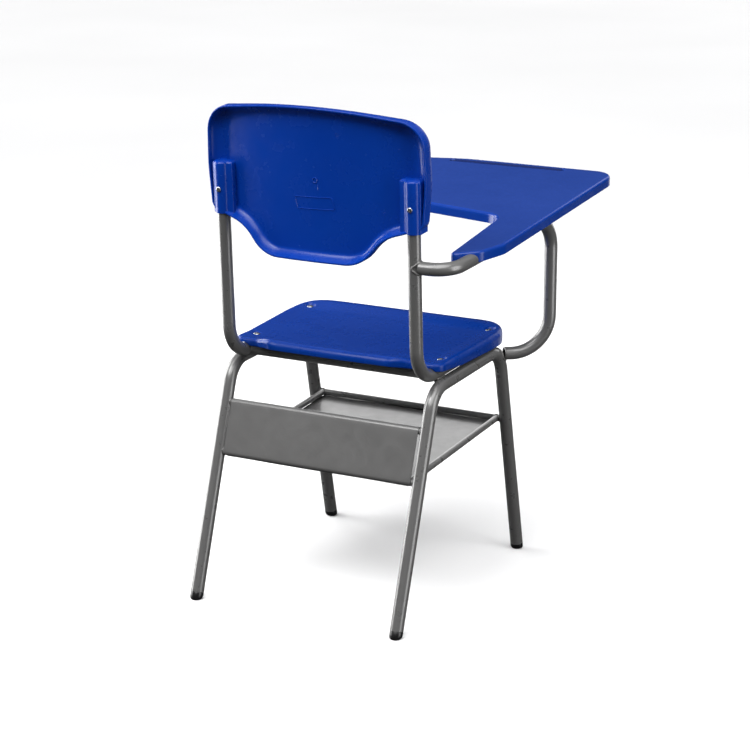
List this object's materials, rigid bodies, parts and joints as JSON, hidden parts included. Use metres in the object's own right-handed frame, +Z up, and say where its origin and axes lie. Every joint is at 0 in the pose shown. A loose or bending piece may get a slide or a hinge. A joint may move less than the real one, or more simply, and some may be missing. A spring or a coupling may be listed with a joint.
{
  "type": "student desk chair",
  "caption": "School chair with a welded tube frame, moulded seat and back, fixed writing tablet on the right and a sheet-metal book rack under the seat.",
  "frame": {"origin": "middle of the footprint on the floor", "axes": "+Z up, +Y towards the rear of the chair, the sitter faces -Y, +X towards the sitter's left; the tablet is on the -X side"},
  "size_m": [0.479, 0.707, 0.8504],
  "materials": {
    "frame_paint": "satin grey powder coat",
    "rack_paint": "satin grey powder coat on sheet steel",
    "seat_plastic": "blue moulded plastic, fine grain",
    "back_plastic": "blue moulded plastic, fine grain",
    "tablet_plastic": "blue moulded plastic, matt grain",
    "black_plastic": "black moulded plastic",
    "zinc": "zinc plated steel"
  },
  "bodies": {
    "root": {"back_screw_left": "zinc", "back_screw_right": "zinc", "back_shell": "back_plastic", "back_tube_left": "frame_paint", "back_tube_right": "frame_paint", "cross_tube_front": "frame_paint", "cross_tube_rear": "frame_paint", "foot_cap_front_left": "black_plastic", "foot_cap_front_right": "black_plastic", "foot_cap_rear_left": "black_plastic", "foot_cap_rear_right": "black_plastic", "leg_frame_left": "frame_paint", "leg_frame_right": "frame_paint", "rack_bar_front": "frame_paint", "rack_bar_rear_lower": "frame_paint", "rack_bar_rear_upper": "frame_paint", "rack_bar_side_left": "frame_paint", "rack_bar_side_right": "frame_paint", "rack_sheet": "rack_paint", "rail_plug_left": "black_plastic", "rail_plug_right": "black_plastic", "seat_rivet_front_left": "zinc", "seat_rivet_front_right": "zinc", "seat_rivet_rear_left": "zinc", "seat_rivet_rear_right": "zinc", "seat_shell": "seat_plastic", "tablet_bracket_front": "frame_paint", "tablet_bracket_rear": "frame_paint", "tablet_screw_front_a": "zinc", "tablet_screw_front_b": "zinc", "tablet_screw_rear_a": "zinc", "tablet_screw_rear_b": "zinc", "tablet_top": "tablet_plastic", "tablet_tube": "frame_paint"}
  },
  "joints": []
}
